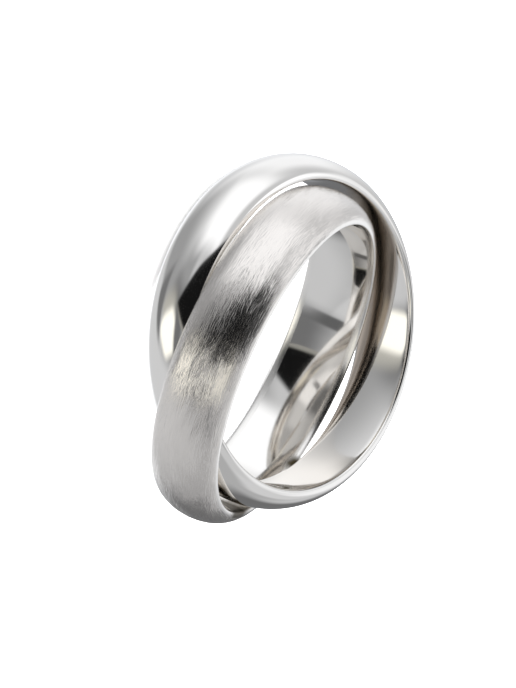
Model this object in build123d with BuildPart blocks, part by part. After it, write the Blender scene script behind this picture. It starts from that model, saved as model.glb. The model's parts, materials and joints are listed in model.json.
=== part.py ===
import os
from math import asin, atan, cos, hypot, sin

from build123d import *

# Driving dimensions, in millimetres
inner_diameter = 18.0
polished_width = 4.1
brushed_width = 4.33
band_thickness = 1.5
bore_rise = 0.08  # how far the bore, which bulges a little inward, opens toward its ends
edge_width = 0.45  # how far the rounding of an inner edge runs along the bore
edge_depth = 0.16  # how far it runs outward

# How the two loose bands lie against each other at rest
side_gap = 0.13  # between the facing edges, where one band passes over the other
crossing_gap = 0.54  # between the bands, where one passes through the other
cross_slip = 0.25  # how far the brushed band has slid toward -Y past the polished one

# Sizes of a band's section that follow
inner_radius = inner_diameter / 2
bore_end_radius = inner_radius + bore_rise
shoulder_radius = bore_end_radius + edge_depth
dome_height = inner_radius + band_thickness - shoulder_radius

# The bands fold toward each other about X, like an X seen from the side, until their edges meet
facing_width = (polished_width + brushed_width) / 2
half_fold = atan(facing_width / inner_diameter) + asin(side_gap / hypot(inner_diameter, facing_width))

# The narrower band tilts a little more, so that both reach the surface they lie on
lean = asin((brushed_width - polished_width) / (4 * shoulder_radius))
polished_tilt = half_fold + lean
brushed_tilt = half_fold - lean


def depth_below(width, tilt):
    """How far a tilted band reaches below its centre."""
    return shoulder_radius * sin(tilt) + hypot(dome_height * sin(tilt), width / 2 * cos(tilt))


def reach_along_y(width, tilt):
    """How far a tilted band reaches from its centre along Y."""
    return shoulder_radius * cos(tilt) + hypot(dome_height * cos(tilt), width / 2 * sin(tilt))


# Both centres are level, and the pair stands centred over the origin
centre_height = max(depth_below(polished_width, polished_tilt), depth_below(brushed_width, brushed_tilt))
polished_reach = reach_along_y(polished_width, polished_tilt)
brushed_reach = reach_along_y(brushed_width, brushed_tilt)
reach_plus_y = max(polished_reach, brushed_reach - cross_slip)
reach_minus_y = max(polished_reach, brushed_reach + cross_slip)
polished_y = (reach_minus_y - reach_plus_y) / 2
brushed_y = polished_y - cross_slip
centre_spacing = band_thickness + crossing_gap
polished_centre = (-centre_spacing / 2, polished_y, centre_height)
brushed_centre = (centre_spacing / 2, brushed_y, centre_height)


def section_plane(centre, tilt):
    """The plane of a band's section: x outward along the row's X, y along the band's own axis."""
    return Plane(origin=centre, x_dir=(1, 0, 0), z_dir=(0, -cos(tilt), sin(tilt)))


def half_round_section(plane, width):
    """A slightly bulging inside, two rounded edges and a domed outside."""
    half = width / 2
    corner = half - edge_width
    with BuildSketch(plane) as section:
        with BuildLine():
            bore = ThreePointArc((bore_end_radius, -corner), (inner_radius, 0), (bore_end_radius, corner))
            slope = (bore % 1).X / (bore % 1).Y
            foot_radius = bore_end_radius + slope * edge_width  # where the bore would meet the band's side
            Bezier((bore_end_radius, corner), (foot_radius, half), (shoulder_radius, half))
            EllipticalCenterArc((shoulder_radius, 0), dome_height, half, start_angle=-90, arc_size=180)
            Bezier((shoulder_radius, -half), (foot_radius, -half), (bore_end_radius, -corner))
        make_face()
    return section.sketch


# Polished band, tilted toward -Y
polished_plane = section_plane(polished_centre, -polished_tilt)
with BuildPart() as polished_band:
    polished_section = half_round_section(polished_plane, polished_width)
    revolve(polished_section, axis=Axis(polished_centre, polished_plane.y_dir))
polished_band.part.label = "polished_band"

# Brushed band, tilted toward +Y and linked through the polished one
brushed_plane = section_plane(brushed_centre, brushed_tilt)
with BuildPart() as brushed_band:
    brushed_section = half_round_section(brushed_plane, brushed_width)
    revolve(brushed_section, axis=Axis(brushed_centre, brushed_plane.y_dir))
brushed_band.part.label = "brushed_band"

os.makedirs("parts", exist_ok=True)
export_step(polished_band.part, "parts/polished_band.step")
export_step(brushed_band.part, "parts/brushed_band.step")
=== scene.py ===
"""Looks, light and camera for a silver ring of two linked bands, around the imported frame.

Lengths are in metres unless a name ends in _mm. A direction is given by its azimuth, counted
from -Y toward +X, and its elevation above the floor, both in degrees.
"""

import json
import math

import bpy
from mathutils import Matrix, Vector


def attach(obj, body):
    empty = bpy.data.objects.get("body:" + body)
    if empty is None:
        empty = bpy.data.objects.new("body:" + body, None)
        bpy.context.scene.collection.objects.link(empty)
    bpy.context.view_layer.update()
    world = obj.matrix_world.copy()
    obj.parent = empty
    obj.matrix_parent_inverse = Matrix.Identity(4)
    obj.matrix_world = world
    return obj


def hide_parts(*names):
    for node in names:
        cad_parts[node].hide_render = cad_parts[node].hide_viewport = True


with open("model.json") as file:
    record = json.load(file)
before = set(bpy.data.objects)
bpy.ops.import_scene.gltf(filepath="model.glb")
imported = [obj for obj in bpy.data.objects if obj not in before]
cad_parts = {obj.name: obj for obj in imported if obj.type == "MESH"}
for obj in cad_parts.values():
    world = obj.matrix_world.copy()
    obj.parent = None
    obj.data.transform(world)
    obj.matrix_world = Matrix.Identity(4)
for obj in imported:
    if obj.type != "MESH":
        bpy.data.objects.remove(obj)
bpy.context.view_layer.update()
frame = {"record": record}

MM = 0.001


# The bands' section, with the CAD model's sizes

INNER_RADIUS_MM = 9.0
THICKNESS_MM = 1.5
BORE_RISE_MM = 0.08
EDGE_WIDTH_MM = 0.45
EDGE_DEPTH_MM = 0.16
SHOULDER_RADIUS_MM = INNER_RADIUS_MM + BORE_RISE_MM + EDGE_DEPTH_MM
CROWN_RADIUS_MM = INNER_RADIUS_MM + THICKNESS_MM

# The bands fold toward each other about X until their edges meet, and the narrower one leans a
# little more, so that both reach the floor
POLISHED_WIDTH_MM = 4.1
BRUSHED_WIDTH_MM = 4.33
SIDE_GAP_MM = 0.13
BORE_MM = 2 * INNER_RADIUS_MM
FACING_WIDTH_MM = (POLISHED_WIDTH_MM + BRUSHED_WIDTH_MM) / 2
GAP_ANGLE = math.asin(SIDE_GAP_MM / math.hypot(BORE_MM, FACING_WIDTH_MM))
HALF_FOLD = math.atan(FACING_WIDTH_MM / BORE_MM) + GAP_ANGLE
LEAN = math.asin((BRUSHED_WIDTH_MM - POLISHED_WIDTH_MM) / (4 * SHOULDER_RADIUS_MM))

# The hinge lies midway between the bands' centres
CROSSING_GAP_MM = 0.54
CROSS_SLIP_MM = 0.25
HINGE_MM = Vector(frame["record"]["behaviour"]["joints"][0]["pos_m"]) / MM
HINGE_TO_BRUSHED_MM = Vector((THICKNESS_MM + CROSSING_GAP_MM, -CROSS_SLIP_MM, 0)) / 2

POLISHED = {
    "node": "polished_band",
    "slot": "polished_silver",
    "width_mm": POLISHED_WIDTH_MM,
    "centre_mm": HINGE_MM - HINGE_TO_BRUSHED_MM,
    "tilt": -(HALF_FOLD + LEAN),
}
BRUSHED = {
    "node": "brushed_band",
    "slot": "brushed_silver",
    "width_mm": BRUSHED_WIDTH_MM,
    "centre_mm": HINGE_MM + HINGE_TO_BRUSHED_MM,
    "tilt": HALF_FOLD - LEAN,
}

STEPS_AROUND = 720
STEPS_ON_DOME = 56
STEPS_ON_EDGE = 14
STEPS_ON_BORE = 30


def section_points(width_mm):
    """The section's outline as (radius, height) pairs, once round from the low end of the bore."""
    half = width_mm / 2
    corner = half - EDGE_WIDTH_MM
    bore_end = INNER_RADIUS_MM + BORE_RISE_MM
    arc = (corner ** 2 + BORE_RISE_MM ** 2) / (2 * BORE_RISE_MM)
    foot = bore_end + EDGE_WIDTH_MM * corner / math.sqrt(arc ** 2 - corner ** 2)
    edge = []
    for i in range(STEPS_ON_EDGE):
        t = i / STEPS_ON_EDGE
        start = (1 - t) ** 2
        bend = 2 * t * (1 - t)
        end = t ** 2
        edge.append((
            start * bore_end + bend * foot + end * SHOULDER_RADIUS_MM,
            start * corner + (bend + end) * half,
        ))
    points = [(radius, -height) for radius, height in edge]
    for i in range(STEPS_ON_DOME):
        a = math.pi * (i / STEPS_ON_DOME - 0.5)
        points.append((
            SHOULDER_RADIUS_MM + (CROWN_RADIUS_MM - SHOULDER_RADIUS_MM) * math.cos(a),
            half * math.sin(a),
        ))
    points.append((SHOULDER_RADIUS_MM, half))
    points.extend(reversed(edge))
    for i in range(1, STEPS_ON_BORE):
        height = corner * (1 - 2 * i / STEPS_ON_BORE)
        points.append((INNER_RADIUS_MM + arc - math.sqrt(arc ** 2 - height ** 2), height))
    return points


def lengths_from_crown(points):
    """Distance along the outline from the crown's ridge, at each point and once more where it closes."""
    lengths = [0.0]
    for i, point in enumerate(points):
        after = points[(i + 1) % len(points)]
        lengths.append(lengths[-1] + math.dist(point, after))
    ridge = lengths[STEPS_ON_EDGE + STEPS_ON_DOME // 2]
    return [length - ridge for length in lengths]


def band_axes(tilt):
    """The band's own axes as seen in the row's frame: two across its bore and one along its axis."""
    across = Vector((1, 0, 0))
    along = Vector((0, math.sin(tilt), math.cos(tilt)))
    return across, along.cross(across), along


def make_band(name, spec):
    """A closed ring swept round from the section, with the UV map 'band' in millimetres."""
    points = section_points(spec["width_mm"])
    lengths = lengths_from_crown(points)
    count = len(points)
    axis_x, axis_y, axis_z = band_axes(spec["tilt"])
    centre = spec["centre_mm"]

    vertices = []
    for i in range(STEPS_AROUND):
        a = 2 * math.pi * i / STEPS_AROUND
        outward = axis_x * math.cos(a) + axis_y * math.sin(a)
        for radius, height in points:
            vertices.append((centre + outward * radius + axis_z * height) * MM)

    faces = []
    coordinates = []
    step_mm = 2 * math.pi * CROWN_RADIUS_MM / STEPS_AROUND
    for i in range(STEPS_AROUND):
        here = i * count
        there = (i + 1) % STEPS_AROUND * count
        for j in range(count):
            k = (j + 1) % count
            faces.append((here + j, here + k, there + k, there + j))
            for u, v in ((i, j), (i, j + 1), (i + 1, j + 1), (i + 1, j)):
                coordinates.extend((u * step_mm, lengths[v]))

    mesh = bpy.data.meshes.new(name)
    mesh.from_pydata(vertices, [], faces)
    mesh.uv_layers.new(name="band")
    mesh.uv_layers["band"].data.foreach_set("uv", coordinates)
    mesh.polygons.foreach_set("use_smooth", [True] * len(faces))
    mesh.update()
    piece = bpy.data.objects.new(name, mesh)
    bpy.context.scene.collection.objects.link(piece)
    return piece


# Small helpers for shader nodes


def new_node(tree, kind, inputs=None, **settings):
    node = tree.nodes.new(kind)
    for key, value in settings.items():
        setattr(node, key, value)
    for key, value in (inputs or {}).items():
        if isinstance(value, bpy.types.NodeSocket):
            tree.links.new(value, node.inputs[key])
        else:
            node.inputs[key].default_value = value
    return node


def maths(tree, operation, a, b=0.0, c=0.0):
    return new_node(tree, "ShaderNodeMath", {0: a, 1: b, 2: c}, operation=operation).outputs["Value"]


def dot(tree, vector, constant):
    node = new_node(tree, "ShaderNodeVectorMath", {0: vector, 1: constant}, operation="DOT_PRODUCT")
    return node.outputs["Value"]


def map_range(tree, value, source, target, kind="LINEAR"):
    low, high = source
    to_low, to_high = target
    node = new_node(
        tree,
        "ShaderNodeMapRange",
        {"Value": value, "From Min": low, "From Max": high, "To Min": to_low, "To Max": to_high},
        interpolation_type=kind,
    )
    return node.outputs["Result"]


def smooth_step(tree, value, low, high):
    return map_range(tree, value, (low, high), (0.0, 1.0), "SMOOTHSTEP")


def noise(tree, vector, scale, detail):
    node = new_node(tree, "ShaderNodeTexNoise", {"Vector": vector, "Scale": scale, "Detail": detail})
    return node.outputs["Fac"]


def mix_values(tree, factor, a, b):
    return new_node(tree, "ShaderNodeMix", {"Factor": factor, "A": a, "B": b}).outputs["Result"]


# The mix node has one output of the same name for each type, and this is the colour
COLOUR_OUTPUT = 2


def mix_colours(tree, factor, a, b):
    """From colour a at nought to colour b at one."""
    node = new_node(tree, "ShaderNodeMix", data_type="RGBA")
    tree.links.new(factor, node.inputs["Factor"])
    for key, value in (("A", a), ("B", b)):
        if isinstance(value, bpy.types.NodeSocket):
            tree.links.new(value, node.inputs[key])
        else:
            node.inputs[key].default_value = value
    return node.outputs[COLOUR_OUTPUT]


# Materials

POLISHED_COLOUR = (0.88, 0.85, 0.81, 1.0)
BRUSHED_COLOUR = (0.81, 0.765, 0.72, 1.0)
# Dark olive painted shade where the bands cross and shade each other
CROSSING_SHADE_COLOUR = (0.07, 0.055, 0.03, 1.0)
# Darker, browner painted shade on the brushed crown where it lies against the polished band's bore
GAP_SHADE_COLOUR = (0.43, 0.38, 0.335, 1.0)

# The polished silver's faint waves, and the haze that its roughness follows
WAVES_SCALE = 320.0
WAVES_DEPTH_MM = 0.006
HAZE_SCALE = 260.0
HAZE_RANGE = (0.35, 0.7)
POLISHED_ROUGHNESS = (0.05, 0.11)

# How far from the crown's ridge the brushing reaches and over what width it fades, toward the
# band's low and its high side
BRUSHED_TO_LOW_MM = 2.70
BRUSHED_TO_HIGH_MM = 2.70
FADE_TO_LOW_MM = 0.12
FADE_TO_HIGH_MM = 0.3

# The brushing's marks and the broad swells under them: length, width and sideways wander
LONG_MARKS_MM = (0.95, 0.07, 0.10)
SHORT_MARKS_MM = (0.4, 0.045, 0.04)
SWELLS_MM = (2.6, 0.9, 0.0)
WANDER_SCALE = 700.0
MARKS_DEPTH_MM = 0.023
SWELLS_DEPTH_MM = 0.07
SHORT_MARKS_SHARE = 0.7

# The marks are deeper on the high parts of the swells: their least depth, and how much that adds
PRESSED_RANGE = (0.25, 0.65)
PRESSED_LEAST = 0.5
PRESSED_MORE = 0.7

# Roughness of the crown, which follows the long marks, of the bore and of the narrow edges, and
# where the edges start and end, by the distance from the ridge
SATIN_RANGE = (0.3, 0.7)
SATIN_ROUGHNESS = (0.19, 0.27)
BORE_ROUGHNESS = 0.06
EDGE_ROUGHNESS = 0.24
EDGE_STARTS_MM = (2.55, 2.75)
EDGE_ENDS_MM = (3.35, 3.15)
BRUSHED_ANISOTROPY = 0.5
BRUSHED_TURN = 0.25

# The stretch of the brushed crown that lies close against the polished band's bore gets painted shade, a
# darker,
# browner colour, and fainter marks: its middle round the band, where it starts and is full, and how much of
# the marks it hides
GAP_SHADE_STRETCH_DEG = 141.0
GAP_SHADE_OUTWARD_MM = (4.5, 8.5)
GAP_SHADE_SIDE_MM = (-0.4, 0.8)
GAP_SHADE_HIDES = 0.8

# Painted shade at the crossings, a dark olive colour where the bands shade each other: each one's centre
# and its reach
CROSSING_SHADE_SPOTS_MM = {
    "polished_band": ((8.8, 3.8, 4.9, 0.9),),
    "brushed_band": ((8.2, 5.7, 4.75, 1.9), (2.0, 9.25, 4.2, 0.8)),
}

# The share of the reach where the painted shade is full, how far beyond the reach it fades out, and how far
# its blotches move that rim; on the brushed band it starts this far from the ridge
CROSSING_SHADE_CORE = 0.6
CROSSING_SHADE_RIM_MM = 0.5
BLOTCHES_SCALE = 900.0
BLOTCHES_MM = 0.9
CROSSING_SHADE_OFF_CROWN_MM = (2.2, 2.6)
# The roughness where the painted shade lies
CROSSING_SHADE_ROUGHNESS = 0.4


def silver_material(name, colour):
    material = bpy.data.materials.new(name)
    material.use_nodes = True
    tree = material.node_tree
    shader = tree.nodes["Principled BSDF"]
    shader.inputs["Metallic"].default_value = 1.0
    shader.inputs["Base Color"].default_value = colour
    return material, tree, shader


def marks(tree, here, spec, length_mm, width_mm, wander_mm):
    """Marks that long and that wide, drawn out round the band, and the place across it that they use."""
    axis_x, axis_y, _ = band_axes(spec["tilt"])
    side = new_node(tree, "ShaderNodeUVMap", uv_map="band").outputs["UV"]
    side = new_node(tree, "ShaderNodeSeparateXYZ", {0: side}).outputs["Y"]
    if wander_mm:
        drift = noise(tree, here, WANDER_SCALE, detail=1.0)
        side = maths(tree, "MULTIPLY_ADD", drift, wander_mm, side)
    place = new_node(
        tree,
        "ShaderNodeCombineXYZ",
        {
            "X": dot(tree, here, axis_x / (length_mm * MM)),
            "Y": dot(tree, here, axis_y / (length_mm * MM)),
            "Z": maths(tree, "DIVIDE", side, width_mm),
        },
    )
    return noise(tree, place.outputs["Vector"], scale=1.0, detail=1.0), side


def crossing_shade(tree, here, spec):
    """One at the middle of a place of painted shade and nought away from it, with a blotchy rim."""
    blotches = noise(tree, here, BLOTCHES_SCALE, detail=2.0)
    mask = 0.0
    for *centre, reach in CROSSING_SHADE_SPOTS_MM[spec["node"]]:
        away = new_node(
            tree,
            "ShaderNodeVectorMath",
            {0: here, 1: Vector(centre) * MM},
            operation="DISTANCE",
        ).outputs["Value"]
        away = maths(tree, "MULTIPLY_ADD", blotches, BLOTCHES_MM * MM, away)
        near = smooth_step(tree, away, (reach + CROSSING_SHADE_RIM_MM) * MM, reach * CROSSING_SHADE_CORE * MM)
        mask = maths(tree, "MAXIMUM", near, mask)
    return mask


def finish_with_crossing_shade(tree, shader, mask, colour, roughness):
    # Painted shade: its dark colour and its roughness are mixed in where the mask is one
    colour = mix_colours(tree, mask, colour, CROSSING_SHADE_COLOUR)
    tree.links.new(colour, shader.inputs["Base Color"])
    roughness = mix_values(tree, mask, roughness, CROSSING_SHADE_ROUGHNESS)
    tree.links.new(roughness, shader.inputs["Roughness"])


def polished_silver(spec):
    material, tree, shader = silver_material("polished_silver_finish", POLISHED_COLOUR)
    here = new_node(tree, "ShaderNodeTexCoord").outputs["Object"]
    waves = noise(tree, here, WAVES_SCALE, detail=1.0)
    bump = new_node(tree, "ShaderNodeBump", {"Height": waves, "Distance": WAVES_DEPTH_MM * MM})
    tree.links.new(bump.outputs["Normal"], shader.inputs["Normal"])
    haze = noise(tree, here, HAZE_SCALE, detail=3.0)
    roughness = map_range(tree, haze, HAZE_RANGE, POLISHED_ROUGHNESS)
    # Painted shade where the bands cross
    finish_with_crossing_shade(tree, shader, crossing_shade(tree, here, spec), POLISHED_COLOUR, roughness)
    return material


def gap_shade_stretch(tree, here, side, spec):
    """One on the stretch of the crown that gets painted shade and nought away from it."""
    axis_x, axis_y, _ = band_axes(spec["tilt"])
    a = math.radians(GAP_SHADE_STRETCH_DEG)
    outward = axis_x * math.cos(a) + axis_y * math.sin(a)
    out_mm = dot(tree, here, outward / MM)
    out_mm = maths(tree, "SUBTRACT", out_mm, spec["centre_mm"].dot(outward))
    round_the_band = smooth_step(tree, out_mm, *GAP_SHADE_OUTWARD_MM)
    across_it = smooth_step(tree, side, *GAP_SHADE_SIDE_MM)
    return maths(tree, "MULTIPLY", round_the_band, across_it)


def brushed_normal(tree, long_marks, short_marks, swells, strength):
    """The marks' relief, on top of the broad swells."""
    pressed = smooth_step(tree, swells, *PRESSED_RANGE)
    depth = maths(tree, "MULTIPLY_ADD", pressed, PRESSED_MORE, PRESSED_LEAST)
    relief = maths(tree, "ADD", long_marks, maths(tree, "MULTIPLY", short_marks, SHORT_MARKS_SHARE))
    relief = maths(tree, "MULTIPLY", relief, depth)
    swelling = new_node(
        tree,
        "ShaderNodeBump",
        {"Height": swells, "Strength": strength, "Distance": SWELLS_DEPTH_MM * MM},
    )
    bump = new_node(
        tree,
        "ShaderNodeBump",
        {
            "Height": relief,
            "Strength": strength,
            "Distance": MARKS_DEPTH_MM * MM,
            "Normal": swelling.outputs["Normal"],
        },
    )
    return bump.outputs["Normal"]


def brushed_roughness(tree, crown, from_ridge, long_marks):
    """Satin on the crown, a little rough on the narrow edges and smooth in the bore."""
    satin = map_range(tree, long_marks, SATIN_RANGE, SATIN_ROUGHNESS)
    starts = smooth_step(tree, from_ridge, *EDGE_STARTS_MM)
    ends = smooth_step(tree, from_ridge, *EDGE_ENDS_MM)
    smooth = mix_values(tree, maths(tree, "MULTIPLY", starts, ends), BORE_ROUGHNESS, EDGE_ROUGHNESS)
    return mix_values(tree, crown, smooth, satin)


def brushed_silver(spec):
    material, tree, shader = silver_material("brushed_silver_finish", BRUSHED_COLOUR)
    here = new_node(tree, "ShaderNodeTexCoord").outputs["Object"]
    long_marks, side = marks(tree, here, spec, *LONG_MARKS_MM)
    short_marks, _ = marks(tree, here, spec, *SHORT_MARKS_MM)
    swells, _ = marks(tree, here, spec, *SWELLS_MM)

    to_low = smooth_step(tree, side, -BRUSHED_TO_LOW_MM, FADE_TO_LOW_MM - BRUSHED_TO_LOW_MM)
    to_high = smooth_step(tree, side, BRUSHED_TO_HIGH_MM, BRUSHED_TO_HIGH_MM - FADE_TO_HIGH_MM)
    crown = maths(tree, "MULTIPLY", to_low, to_high)
    # Where the crown lies against the polished bore and gets painted shade
    stretch = gap_shade_stretch(tree, here, side, spec)
    marked = maths(tree, "MULTIPLY", crown, maths(tree, "MULTIPLY_ADD", stretch, -GAP_SHADE_HIDES, 1.0))

    normal = brushed_normal(tree, long_marks, short_marks, swells, marked)
    tree.links.new(normal, shader.inputs["Normal"])
    tangent = new_node(tree, "ShaderNodeTangent", direction_type="UV_MAP", uv_map="band").outputs["Tangent"]
    tree.links.new(tangent, shader.inputs["Tangent"])
    shader.inputs["Anisotropic"].default_value = BRUSHED_ANISOTROPY
    shader.inputs["Anisotropic Rotation"].default_value = BRUSHED_TURN

    from_ridge = maths(tree, "ABSOLUTE", side)
    roughness = brushed_roughness(tree, crown, from_ridge, long_marks)
    finish_and_shade = mix_colours(tree, crown, POLISHED_COLOUR, BRUSHED_COLOUR)
    # Painted shade: the crown is darker and browner where it lies against the polished band's bore
    finish_and_shade = mix_colours(tree, maths(tree, "MULTIPLY", crown, stretch), finish_and_shade, GAP_SHADE_COLOUR)
    off_crown = smooth_step(tree, from_ridge, *CROSSING_SHADE_OFF_CROWN_MM)
    # Painted shade at the crossings, kept off the crown
    crossing_shaded = maths(tree, "MULTIPLY", crossing_shade(tree, here, spec), off_crown)
    finish_with_crossing_shade(tree, shader, crossing_shaded, finish_and_shade, roughness)
    return material


# Soft studio light

# Most numbers of both tables come from a program that fitted the panels to the reflections in the
# photograph; they were rounded, and some rows were changed or added

# Each rounded panel: azimuth and elevation of its middle, half its width and height and its turn
# in degrees, how soft its rim is, and its brightness; a later one stands in front of an earlier one
ROOM = 0.64
ROUNDED_PANELS = {
    "upper_left": (-135, 44, 24.5, 19.5, 7, 0.51, 0.98),
    "upper_right": (117, 17, 48, 36, -15, 0.30, 0.47),
    "right_middle": (87, -10, 23.5, 3.2, 0, 0.60, 0.67),
    "table": (-9, -66, 42, 52, -25, 0.14, 0.37),
    "under_right": (117, -70, 34.5, 20.5, -30, 0.41, 0.70),
    "low_left": (-150, -48, 21.5, 14, -17, 1.18, 1.13),
    "rear_upper": (178, 40, 24, 14, 0, 0.6, 0.70),
    "rear_light": (-150, 24, 14, 26, 0, 0.6, 1.05),
    "wall_behind": (-180, -16, 25, 22, 10, 0.8, 0.17),
    "ceiling": (25, 81, 18, 31, 29, 0.38, 0.10),
    "right_wall": (47, -29, 21, 23, -9, 0.79, 0.18),
    "left_wall": (-97, -20, 22, 26, -28, 1.2, 1.06),
    "main_light": (-43, -10, 24, 31, 2, 1.2, 1.07),
    "main_core": (-35, 2, 27, 30, 4, 0.6, 1.21),
    "upper_left_stand": (-134.5, 38, 3.6, 12, -4, 0.78, 0.28),
    "right_stand": (70, 1, 4.5, 20, -6, 0.6, 0.13),
    "back_light": (-94, 55, 9, 17.5, -27, 0.78, 1.26),
    "stand": (95, 30, 10.5, 9, -24, 0.39, 0.216),
    "right_patch": (110, 0, 17, 13, 9, 0.49, 0.635),
    "right_strip": (65, 33, 11, 24, 0, 0.5, 0.95),
}

# How square the rounded panels are, where 2 is an ellipse
SQUARENESS = 6.0

# Each straight-edged panel: how soft its edges are in degrees, its brightness, and the azimuth and
# elevation of each corner
STRAIGHT_PANELS = {
    "low_glow": (14, 0.52, ((26, -38), (36, -32), (58, -58), (44, -67), (29, -61))),
    "low_light": (7, 1.3, ((36, -38), (42, -28), (63, -25), (75, -42), (66, -62), (51, -59))),
    "low_line": (8, 0.20, ((1, -62), (34, -88), (88, -78), (79, -59))),
    "gap_rim": (1.5, 0.32, ((32, -31), (43, -14), (49, 11), (28, 11))),
    "dark_gap": (
        4,
        0.008,
        ((32, -31), (40, -14), (46, 11), (56, 58), (22, 72), (-54, 60), (-21, 40), (4, 0)),
    ),
}

# What lights the paper that the ring lies on
PAPER_LIGHT = 4.0

# The room's light is a little cool, so that silver, which is warm, looks neutral in it; a few
# panels are warm instead
COOL = (0.97, 1.0, 1.045)
WARM = (1.0, 1.0, 0.94)
WARM_PANELS = ("low_glow", "low_light", "right_strip", "gap_rim")


def direction(azimuth_deg, elevation_deg):
    a = math.radians(azimuth_deg)
    e = math.radians(elevation_deg)
    return Vector((math.sin(a) * math.cos(e), -math.cos(a) * math.cos(e), math.sin(e)))


def rounded_mask(tree, toward, azimuth, elevation, half_width, half_height, turn, softness):
    """One inside a rounded panel and nought outside it, seen from the ring."""
    middle = direction(azimuth, elevation)
    a = math.radians(azimuth)
    level = Vector((math.cos(a), math.sin(a), 0))
    upright = level.cross(-middle)
    t = math.radians(turn)
    right = level * math.cos(t) + upright * math.sin(t)
    up = upright * math.cos(t) - level * math.sin(t)
    x = dot(tree, toward, right / math.sin(math.radians(half_width)))
    y = dot(tree, toward, up / math.sin(math.radians(half_height)))
    x = maths(tree, "POWER", x, SQUARENESS)
    y = maths(tree, "POWER", y, SQUARENESS)
    reach = maths(tree, "POWER", maths(tree, "ADD", x, y), 1 / SQUARENESS)
    inside = smooth_step(tree, maths(tree, "SUBTRACT", 1.0, reach), -softness / 2, softness / 2)
    facing = maths(tree, "GREATER_THAN", dot(tree, toward, middle), 0.0)
    return maths(tree, "MULTIPLY", inside, facing)


def straight_mask(tree, toward, softness, corners):
    """One inside a panel with straight edges and nought outside it, seen from the ring."""
    corners = [direction(azimuth, elevation) for azimuth, elevation in corners]
    middle = sum(corners, Vector())
    half_soft = math.sin(math.radians(softness)) / 2
    mask = 1.0
    for i, corner in enumerate(corners):
        edge = corner.cross(corners[(i + 1) % len(corners)]).normalized()
        if edge.dot(middle) < 0:
            edge.negate()
        inside = smooth_step(tree, dot(tree, toward, edge), -half_soft, half_soft)
        mask = maths(tree, "MULTIPLY", inside, mask)
    return mask


def panel_colour(name, brightness):
    tint = WARM if name in WARM_PANELS else COOL
    return (*(brightness * channel for channel in tint), 1.0)


def make_world():
    world = bpy.data.worlds.new("studio")
    bpy.context.scene.world = world
    world.use_nodes = True
    world.cycles.sampling_method = "NONE"
    tree = world.node_tree
    toward = new_node(tree, "ShaderNodeTexCoord").outputs["Generated"]
    light = panel_colour("room", ROOM)
    for name, (*shape, brightness) in ROUNDED_PANELS.items():
        mask = rounded_mask(tree, toward, *shape)
        light = mix_colours(tree, mask, light, panel_colour(name, brightness))
    for name, (softness, brightness, corners) in STRAIGHT_PANELS.items():
        mask = straight_mask(tree, toward, softness, corners)
        light = mix_colours(tree, mask, light, panel_colour(name, brightness))
    background = tree.nodes["Background"]
    tree.links.new(light, background.inputs["Color"])
    paper = new_node(tree, "ShaderNodeBackground", {"Strength": PAPER_LIGHT})
    paper.inputs["Color"].default_value = (1.0, 1.0, 1.0, 1.0)
    reflected = new_node(tree, "ShaderNodeLightPath").outputs["Is Glossy Ray"]
    mixed = new_node(
        tree,
        "ShaderNodeMixShader",
        {0: reflected, 1: paper.outputs["Background"], 2: background.outputs["Background"]},
    )
    tree.links.new(mixed.outputs["Shader"], tree.nodes["World Output"].inputs["Surface"])


# The sheet of paper under the ring

PAPER_HALF_SIZE = 0.5
PAPER_COLOUR = (0.86, 0.86, 0.86, 1.0)
PAPER_ROUGHNESS = 0.9


def make_floor():
    half = PAPER_HALF_SIZE
    corners = [(-half, -half, 0), (half, -half, 0), (half, half, 0), (-half, half, 0)]
    mesh = bpy.data.meshes.new("floor")
    mesh.from_pydata(corners, [], [(0, 1, 2, 3)])
    floor = bpy.data.objects.new("floor", mesh)
    bpy.context.scene.collection.objects.link(floor)
    material = bpy.data.materials.new("floor_paper")
    material.use_nodes = True
    tree = material.node_tree
    shader = tree.nodes["Principled BSDF"]
    shader.inputs["Base Color"].default_value = PAPER_COLOUR
    shader.inputs["Roughness"].default_value = PAPER_ROUGHNESS
    shader.inputs["Specular IOR Level"].default_value = 0.0
    mesh.materials.append(material)
    floor.visible_glossy = False


# Camera, at the photograph's angle to the ring

CAMERA_AZIMUTH = 30.916
CAMERA_ELEVATION = 29.020
CAMERA_ROLL = 107.679
CAMERA_DISTANCE_MM = 398.548
CAMERA_AIM_MM = (0.5164, -0.1714, 3.4483)
CAMERA_LENS = 355.81
CAMERA_SENSOR = 36.0
CAMERA_CLIP = (0.01, 10.0)


def make_camera():
    back = direction(CAMERA_AZIMUTH, CAMERA_ELEVATION)
    a = math.radians(CAMERA_AZIMUTH)
    level = Vector((math.cos(a), math.sin(a), 0))
    upright = back.cross(level)
    roll = math.radians(CAMERA_ROLL)
    right = level * math.cos(roll) + upright * math.sin(roll)
    up = upright * math.cos(roll) - level * math.sin(roll)
    place = (Vector(CAMERA_AIM_MM) + back * CAMERA_DISTANCE_MM) * MM
    data = bpy.data.cameras.new("camera")
    data.sensor_width = CAMERA_SENSOR
    data.lens = CAMERA_LENS
    data.clip_start, data.clip_end = CAMERA_CLIP
    camera = bpy.data.objects.new("camera", data)
    turned = Matrix((right, up, back)).transposed()
    camera.matrix_world = Matrix.Translation(place) @ turned.to_4x4()
    bpy.context.scene.collection.objects.link(camera)
    bpy.context.scene.camera = camera


make_camera()
make_world()
make_floor()
bpy.context.scene.view_settings.view_transform = "Standard"

for spec, material in ((POLISHED, polished_silver(POLISHED)), (BRUSHED, brushed_silver(BRUSHED))):
    band = make_band(spec["node"] + "_finish", spec)
    band.data.materials.append(material)
    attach(band, spec["node"])
    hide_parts(spec["node"])
